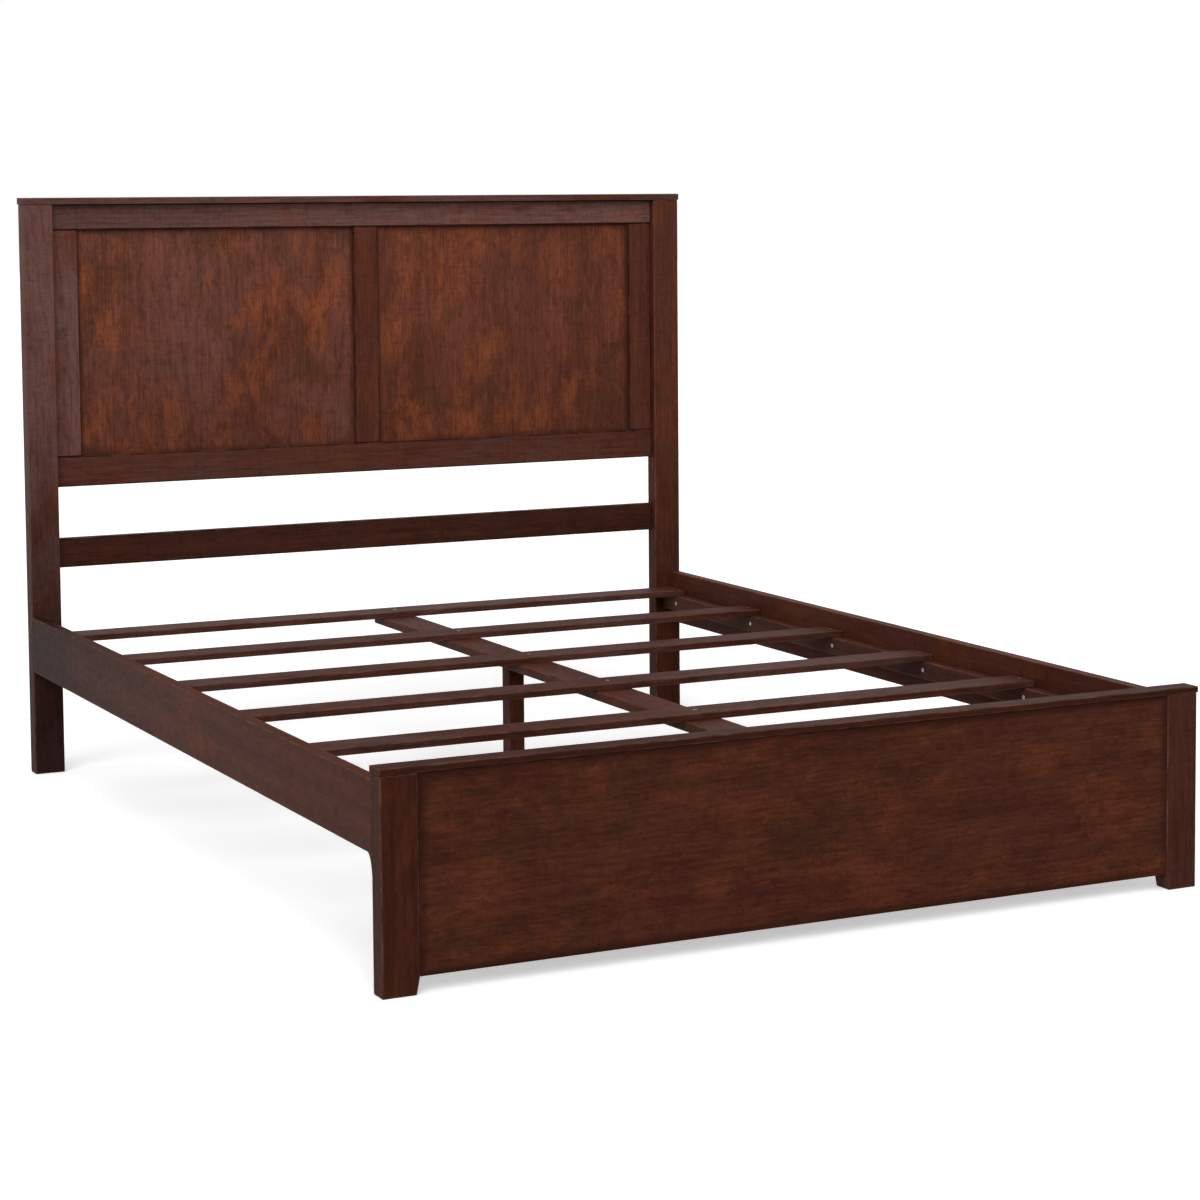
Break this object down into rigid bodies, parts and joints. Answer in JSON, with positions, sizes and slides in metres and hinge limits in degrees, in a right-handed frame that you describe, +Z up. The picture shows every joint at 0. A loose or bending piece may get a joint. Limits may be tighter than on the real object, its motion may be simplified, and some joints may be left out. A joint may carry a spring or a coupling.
{
  "type": "panel bed",
  "caption": "Queen-size wooden panel bed: framed panel headboard, low solid footboard, hooked side rails, slats, and a centre beam on a leg with a screw foot.",
  "frame": {"origin": "on the floor under the middle of the bed: centre of the bounding box in X and Y, at its bottom", "axes": "+X across the bed to its right-hand side seen from the foot, +Y along the bed from the footboard to the headboard, +Z up"},
  "size_m": [1.614, 2.144, 1.279],
  "materials": {
    "post_wood": "dark stained, satin lacquer",
    "cap_wood": "dark stained, satin lacquer",
    "frame_wood": "dark stained, satin lacquer",
    "head_panel_wood": "dark stained, upright grain, satin lacquer",
    "foot_panel_wood": "dark stained, level grain, satin lacquer",
    "side_rail_wood": "dark stained, satin lacquer",
    "ledger_wood": "dark stained",
    "slat_wood": "dark stained, thin finish",
    "leg_wood": "dark stained",
    "plate_steel": "zinc plated",
    "screw_steel": "zinc plated",
    "foot_plastic": "moulded black nylon"
  },
  "bodies": {
    "bed_frame": {"headboard_left_post": "post_wood", "headboard_right_post": "post_wood", "footboard_left_post": "post_wood", "footboard_right_post": "post_wood", "headboard_cap": "cap_wood", "footboard_cap": "cap_wood", "headboard_top_rail": "frame_wood", "headboard_bottom_rail": "frame_wood", "headboard_crossbar": "frame_wood", "headboard_left_stile": "frame_wood", "headboard_centre_stile": "frame_wood", "headboard_right_stile": "frame_wood", "headboard_left_panel": "head_panel_wood", "headboard_right_panel": "head_panel_wood", "footboard_panel": "foot_panel_wood", "left_side_rail": "side_rail_wood", "right_side_rail": "side_rail_wood", "left_slat_ledger": "ledger_wood", "right_slat_ledger": "ledger_wood", "slat_1": "slat_wood", "slat_2": "slat_wood", "slat_3": "slat_wood", "slat_4": "slat_wood", "slat_5": "slat_wood", "slat_6": "slat_wood", "centre_beam": "leg_wood", "centre_leg": "leg_wood", "rail_hook_plates": "plate_steel", "post_slot_plates": "plate_steel", "leg_threaded_insert": "plate_steel", "rail_plate_screws": "screw_steel", "post_plate_screws": "screw_steel", "ledger_screws": "screw_steel", "slat_screws": "screw_steel", "leg_screws": "screw_steel"},
    "leg_leveller": {"leveller_base": "foot_plastic", "leveller_stem": "plate_steel"}
  },
  "joints": [
    {"name": "leveller_screw", "type": "slide", "parent": "bed_frame", "child": "leg_leveller", "axis": [0, 0, -1], "range_m": [0, 0.012]}
  ]
}
